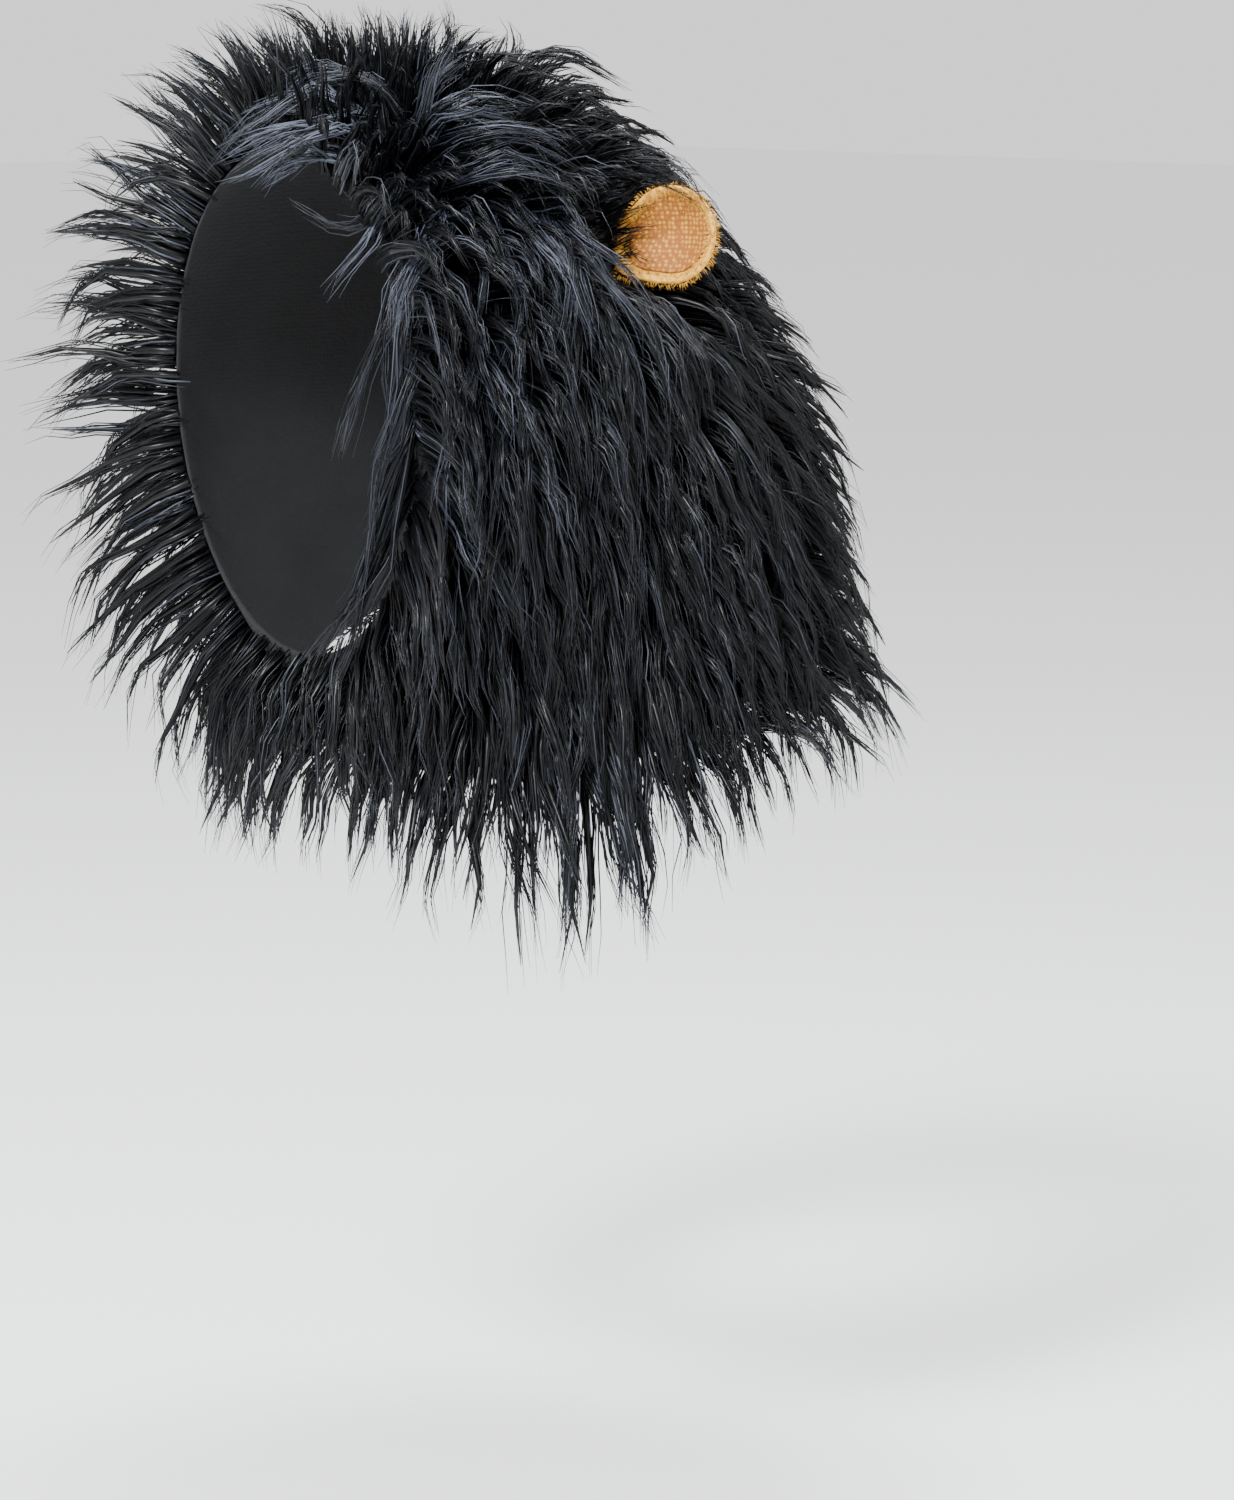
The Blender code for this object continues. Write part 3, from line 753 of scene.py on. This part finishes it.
def strands_of(lines, normals, tones, per_lock, rooms, dice, radius, highlight_share):
    """Fine strands that start around each lock's root and run together towards its point."""
    locks = len(lines)
    owners = np.repeat(np.arange(locks), per_lock)
    count = len(owners)
    steps = np.linspace(0.0, 1.0, STRAND_RINGS)
    reach = dice.uniform(*STRAND_REACH, (count, 1))
    first = unit(np.cross(normals, UP) + SIDE_NUDGE)
    second = np.cross(normals, first)
    turn = dice.uniform(0.0, 2.0 * math.pi, count)
    far = np.sqrt(dice.random(count)) * radius
    twist = dice.normal(0.0, STRAND_TWIST, (locks, 1))[owners]
    loose = dice.random(count) < LOOSE_SHARE
    splay = dice.uniform(*LOOSE_SPLAY, (count, 1)) * loose[:, None]
    phase = dice.uniform(0.0, 2.0 * math.pi, (count, 2, 1))
    rate = dice.uniform(*STRAND_WAVE_RATES, (count, 2, 1))
    size = dice.uniform(*STRAND_WAVE_SIZES, (count, 2, 1)) * MILLIMETRE
    end = unit(lines[:, -1] - lines[:, 0])[owners]
    sideways = unit(np.cross(end, UP) + SIDE_NUDGE)
    lift = np.cross(sideways, end)

    def trace(reach):
        share = steps[None] * reach
        angle = turn[:, None] + twist * share
        drawn = share ** STRAND_GATHER_POWER
        gather = 1.0 - STRAND_GATHER * drawn
        gather = gather + (drawn * STRAND_GATHER + splay * share) * loose[:, None]
        offset = (
            first[owners][:, None] * np.cos(angle)[..., None]
            + second[owners][:, None] * np.sin(angle)[..., None]
        )
        paths = at_share(lines, owners, share) + offset * (far[:, None] * gather)[..., None]
        bend = (np.sin(rate * share[:, None] + phase) - np.sin(phase)) * size * share[:, None]
        return (
            paths + sideways[:, None] * bend[:, 0][..., None] + lift[:, None] * bend[:, 1][..., None]
        )

    paths = trace(reach)
    for room in rooms:
        blocked = room.holds(paths)
        entered = blocked.any(1)
        step = np.argmax(blocked, 1)
        reach[entered, 0] *= np.clip(step[entered] - STRAND_STOP, 0.0, None) / (STRAND_RINGS - 1)
        paths = trace(reach)
    kept = reach[:, 0] > LEAST_REACH
    slim = np.interp(steps, *STRAND_SLIM)
    widths = slim[None] * STRAND_WIDTH * dice.uniform(*STRAND_WIDTHS, (count, 1))
    # Some strands carry a painted highlight: lighter, by their lock's tone; the rest are near black at
    # random.
    light = dice.random(count) < highlight_share
    highlight_tone = tones[owners] * dice.uniform(*HIGHLIGHT_TONES, count)
    tone = np.where(light, highlight_tone, dice.uniform(*DARK_TONES, count))
    return paths[kept], widths[kept], tone[kept], STRAND_SIDES


def cores_of(lines, rooms, dice):
    """The dense middle of each lock."""
    count = len(lines)
    steps = np.linspace(0.0, 1.0, CORE_RINGS)
    reach = dice.uniform(*CORE_REACH, (count, 1))
    paths = at_share(lines, np.arange(count), steps[None] * reach)
    for room in rooms:
        blocked = room.holds(paths)
        entered = blocked.any(1)
        step = np.argmax(blocked, 1)
        reach[entered, 0] *= np.clip(step[entered] - CORE_STOP, 0.0, None) / (CORE_RINGS - 1)
        paths = at_share(lines, np.arange(count), steps[None] * reach)
    slim = np.interp(steps, *CORE_SLIM)
    widths = slim[None] * CORE_WIDTH * dice.uniform(*CORE_WIDTHS, (count, 1))
    kept = reach[:, 0] > LEAST_REACH
    return paths[kept], widths[kept], np.full(kept.sum(), CORE_TONE), CORE_SIDES


def fur_material():
    """Black pile, with each strand as light as its tone says, up to the blue-grey of a painted
    highlight.
    """
    material, tree, shader = new_material("long_pile", FUR_COLOUR, FUR_ROUGHNESS)
    set_socket(shader, "Specular IOR Level", FUR_SPECULAR)
    tone = add_node(tree, "ShaderNodeAttribute", attribute_name="tone")
    ramp = add_ramp(tree, *FUR_RAMP)
    scaled = add_node(tree, "ShaderNodeMath", operation="MULTIPLY")
    set_socket(scaled, 1, TONE_TO_RAMP)
    add_links(
        tree,
        (tone.outputs["Fac"], scaled.inputs[0]),
        (scaled.outputs[0], ramp.inputs["Fac"]),
        (ramp.outputs["Color"], shader.inputs["Base Color"]),
    )
    return material


def feature_lines(features, hood, right, wig_back, dice, ear=None):
    """Lines of the locks that show by themselves, laid over the hood as the photograph sees them.

    With an ear, they lie before its face instead, from their second spot on."""
    rise = np.cross(right, -wig_back)
    rise = rise if rise[2] > 0.0 else -rise
    lines = []
    normals = []
    tones = []
    for feature in features:
        for copy in range(feature.count):
            shift = dice.normal(0.0, feature.spread * SPOT_SHIFT, (len(feature.spots), 2))
            knots = []
            depth = START_DEPTH
            for index, spot in enumerate(feature.spots):
                place = np.array(spot) + shift[index] + shift[0] * ROOT_SHIFT_SHARE
                flat = (right * place[0] + rise * place[1]) * CENTIMETRE
                lift = feature.lift * CENTIMETRE * (index > 0) * dice.uniform(*FEATURE_LIFTS)
                if ear is not None and index > 0:
                    depth = ((ear.centre - flat) @ ear.faces + lift) / (wig_back @ ear.faces)
                    knots.append(flat + wig_back * depth)
                    continue
                where, normal, _, _ = hood.surface.ray_cast(
                    Vector(flat + wig_back * RAY_START), Vector(-wig_back)
                )
                facing = 0.0 if where is None else np.array(normal) @ wig_back
                if facing > 0.0:
                    found = (np.array(where) - flat) @ wig_back + lift / max(facing, LEAST_FACING)
                    depth = found if index == 0 else 0.5 * (depth + found)
                knots.append(flat + wig_back * depth)
            root, _, triangle, _ = hood.surface.find_nearest(Vector(knots[0]))
            knots[0] = np.array(root)
            lines.append(knots)
            normals.append(hood.normals[triangle])
            tones.append(feature.tone)
    lines = even_steps(smooth_line(np.array(lines), HAIR_SAMPLES))
    return lines, np.array(normals), np.array(tones)


def make_hair(dice, right, wig_back):
    hood = Hood()
    guides, guide_nodes = read_locks(hood)
    tree = tree_of(guides[:, 0])
    rooms = [EarRoom(side, hood) for side in ("left", "right")]
    points, normals = hood.spread(dice, ROOT_TRIES)
    kept = spaced_out(points, LOCK_SPACING)
    roots, normals = points[kept], normals[kept]
    lines, nearest = guided_lines(roots, guides, tree)
    toward = unit(wig_back * np.array([1.0, 1.0, 0.0]))
    lines = lay_near_side(lines, normals, toward)
    swing = SWING_LEAST + SWING_MORE * smooth_step(normals @ toward, *SWING_SPAN)
    swing *= 1.0 - TOP_SWING_LESS * smooth_step(normals[:, 2], *TOP_SPAN)
    lines = swing_down(lines, swing * dice.uniform(*SWING_SPREAD, len(lines)))
    lines = style_lines(lines, dice)
    lines = lie_on_hood(lines, hood)
    tones = dice.uniform(*LOCK_HIGHLIGHT_TONES, len(lines))
    falls, fall_normals, fall_highlight_tones = feature_lines(FEATURES, hood, right, wig_back, dice)
    falls = style_lines(falls, dice, FEATURE_CALM)
    falls_nearest = np.array([tree.find(line[0])[1] for line in falls])
    wisps, wisp_normals, wisp_highlight_tones = feature_lines(
        EAR_WISPS, hood, right, wig_back, dice, rooms[0]
    )
    wisps = style_lines(wisps, dice, EAR_WISP_CALM)
    material = fur_material()
    for name in FUR_NODES:
        mine = guide_nodes[nearest] == name
        my_falls = guide_nodes[falls_nearest] == name
        middle = np.median(roots[mine, 1])
        made = {}
        for portion, ahead in (("front", True), ("back", False)):
            chosen = mine & ((roots[:, 1] < middle) == ahead)
            # The front of each panel gets more painted highlight strands than its back.
            light = HIGHLIGHT_SHARES[name] if ahead else HIGHLIGHT_SHARE
            made[portion] = [
                strands_of(
                    lines[chosen], normals[chosen], tones[chosen], STRANDS_TO_LOCK[name], rooms, dice,
                    BUNDLE_RADIUS, light,
                ),
                cores_of(lines[chosen], rooms, dice),
            ]
        if my_falls.any():
            made["falls"] = [strands_of(
                falls[my_falls], fall_normals[my_falls], fall_highlight_tones[my_falls], FEATURE_STRANDS,
                rooms, dice, FEATURE_RADIUS, FEATURE_HIGHLIGHT_SHARE,
            )]
        if name == "crown_fur":
            made["ear_wisps"] = [strands_of(
                wisps, wisp_normals, wisp_highlight_tones, EAR_WISP_STRANDS, [], dice,
                EAR_WISP_RADIUS, FEATURE_HIGHLIGHT_SHARE,
            )]
        for portion, groups in made.items():
            piece = tube_mesh(name + "_pile_" + portion, groups, material)
            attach(piece, "root")
            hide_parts(name)


def smooth_copy(name, material):
    """A smooth piece in the place of one CAD node."""
    places, triangles = welded(frame["nodes"][name].data)
    mesh = bpy.data.meshes.new(name + "_smooth")
    mesh.from_pydata(places.tolist(), [], triangles.tolist())
    mesh.shade_smooth()
    mesh.materials.append(material)
    piece = bpy.data.objects.new(name + "_smooth", mesh)
    bpy.context.scene.collection.objects.link(piece)
    smoother = piece.modifiers.new("smooth", "SUBSURF")
    smoother.levels = SMOOTH_LEVELS
    smoother.render_levels = SMOOTH_LEVELS
    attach(piece, "root")
    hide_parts(name)


def knit_cloth_material():
    """Black warp knit: small loops, and a faint wear."""
    material, tree, shader = new_material("hood_knit", KNIT_COLOUR, KNIT_ROUGHNESS)
    place = add_node(tree, "ShaderNodeTexCoord")
    loops = add_node(tree, "ShaderNodeTexVoronoi", feature="F1")
    set_socket(loops, "Scale", KNIT_LOOPS_SCALE)
    set_socket(loops, "Randomness", KNIT_LOOPS_RANDOM)
    wear = add_node(tree, "ShaderNodeTexNoise")
    set_socket(wear, "Scale", KNIT_WEAR_SCALE)
    ramp = add_ramp(tree, *KNIT_RAMP)
    bump = add_bump(tree, *KNIT_BUMP)
    add_links(
        tree,
        (place.outputs["Object"], loops.inputs["Vector"]),
        (place.outputs["Object"], wear.inputs["Vector"]),
        (wear.outputs["Fac"], ramp.inputs["Fac"]),
        (ramp.outputs["Color"], shader.inputs["Base Color"]),
        (loops.outputs["Distance"], bump.inputs["Height"]),
        (bump.outputs["Normal"], shader.inputs["Normal"]),
    )
    return material


def ear_lining_material():
    """Orange brown mesh knit: pale threads round small darker holes."""
    material, tree, shader = new_material("ear_mesh", MESH_COLOUR, MESH_ROUGHNESS)
    place = add_node(tree, "ShaderNodeTexCoord")
    holes = add_node(tree, "ShaderNodeTexVoronoi", feature="F1")
    set_socket(holes, "Scale", MESH_HOLES_SCALE)
    set_socket(holes, "Randomness", MESH_HOLES_RANDOM)
    ramp = add_ramp(tree, *MESH_RAMP)
    patches = add_node(tree, "ShaderNodeTexNoise")
    set_socket(patches, "Scale", MESH_PATCH_SCALE)
    blend = add_node(tree, "ShaderNodeMix", data_type="RGBA", blend_type="MULTIPLY")
    set_socket(blend, 0, MESH_PATCH_SHARE)
    bump = add_bump(tree, *MESH_BUMP)
    add_links(
        tree,
        (place.outputs["Object"], holes.inputs["Vector"]),
        (place.outputs["Object"], patches.inputs["Vector"]),
        (holes.outputs["Distance"], ramp.inputs["Fac"]),
        (ramp.outputs["Color"], blend.inputs[6]),
        (patches.outputs["Fac"], blend.inputs[7]),
        (blend.outputs[2], shader.inputs["Base Color"]),
        (holes.outputs["Distance"], bump.inputs["Height"]),
        (bump.outputs["Normal"], shader.inputs["Normal"]),
    )
    return material


def ear_plush_material():
    """Short golden plush, with each fibre or tuft a little lighter or darker than the next."""
    material, tree, shader = new_material("ear_plush", PLUSH_LIGHT, PLUSH_ROUGHNESS)
    place = add_node(tree, "ShaderNodeTexCoord")
    tufts = add_node(tree, "ShaderNodeTexNoise")
    set_socket(tufts, "Scale", PLUSH_TUFTS_SCALE)
    ramp = add_ramp(tree, *zip(PLUSH_STOPS, (PLUSH_DARK, PLUSH_LIGHT)))
    bump = add_bump(tree, *PLUSH_BUMP)
    add_links(
        tree,
        (place.outputs["Object"], tufts.inputs["Vector"]),
        (tufts.outputs["Fac"], ramp.inputs["Fac"]),
        (ramp.outputs["Color"], shader.inputs["Base Color"]),
        (tufts.outputs["Fac"], bump.inputs["Height"]),
        (bump.outputs["Normal"], shader.inputs["Normal"]),
    )
    return material


def plush_fibres(name, dice, material):
    """Short fibres all over one ear back, which splay and droop a little."""
    places, triangles = welded(frame["nodes"][name].data)
    corners = places[triangles]
    normals = np.cross(corners[:, 1] - corners[:, 0], corners[:, 2] - corners[:, 0])
    sizes = np.linalg.norm(normals, axis=1)
    chosen = dice.choice(len(sizes), PLUSH_FIBRES, p=sizes / sizes.sum())
    shares = dice.dirichlet((1.0, 1.0, 1.0), PLUSH_FIBRES)
    roots = (corners[chosen] * shares[:, :, None]).sum(1)
    splay = dice.normal(0.0, PLUSH_SPLAY, (PLUSH_FIBRES, 3))
    ways = unit(normals[chosen] / sizes[chosen, None] + splay)
    lengths = PLUSH_LENGTH * dice.uniform(*PLUSH_LENGTHS, (PLUSH_FIBRES, 1, 1))
    share = np.linspace(0.0, 1.0, PLUSH_RINGS)[None, :, None]
    droop = -UP * PLUSH_DROOP * share ** 2
    paths = roots[:, None] + (ways[:, None] * share + droop) * lengths
    slim = np.interp(share[0, :, 0], (0.0, 1.0), (1.0, PLUSH_TIP_SHARE))
    widths = PLUSH_WIDTH * slim[None]
    widths = widths * dice.uniform(*PLUSH_WIDTHS, (PLUSH_FIBRES, 1))
    tones = dice.uniform(0.0, 1.0, PLUSH_FIBRES)
    piece = tube_mesh(name + "_fibres", [(paths, widths, tones, STRAND_SIDES)], material)
    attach(piece, "root")
    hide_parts(name)


def make_hood_cloth():
    smooth_copy("hood", knit_cloth_material())


def make_ears(dice):
    plush = ear_plush_material()
    lining = ear_lining_material()
    for side in ("left", "right"):
        smooth_copy(side + "_ear_back", plush)
        plush_fibres(side + "_ear_back", dice, plush)
        smooth_copy(side + "_ear_inner", lining)


aim, right, back, wig_back = make_camera()
make_studio(aim, right, back)
make_hood_cloth()
make_ears(np.random.default_rng(SEED))
make_hair(np.random.default_rng(SEED), right, wig_back)
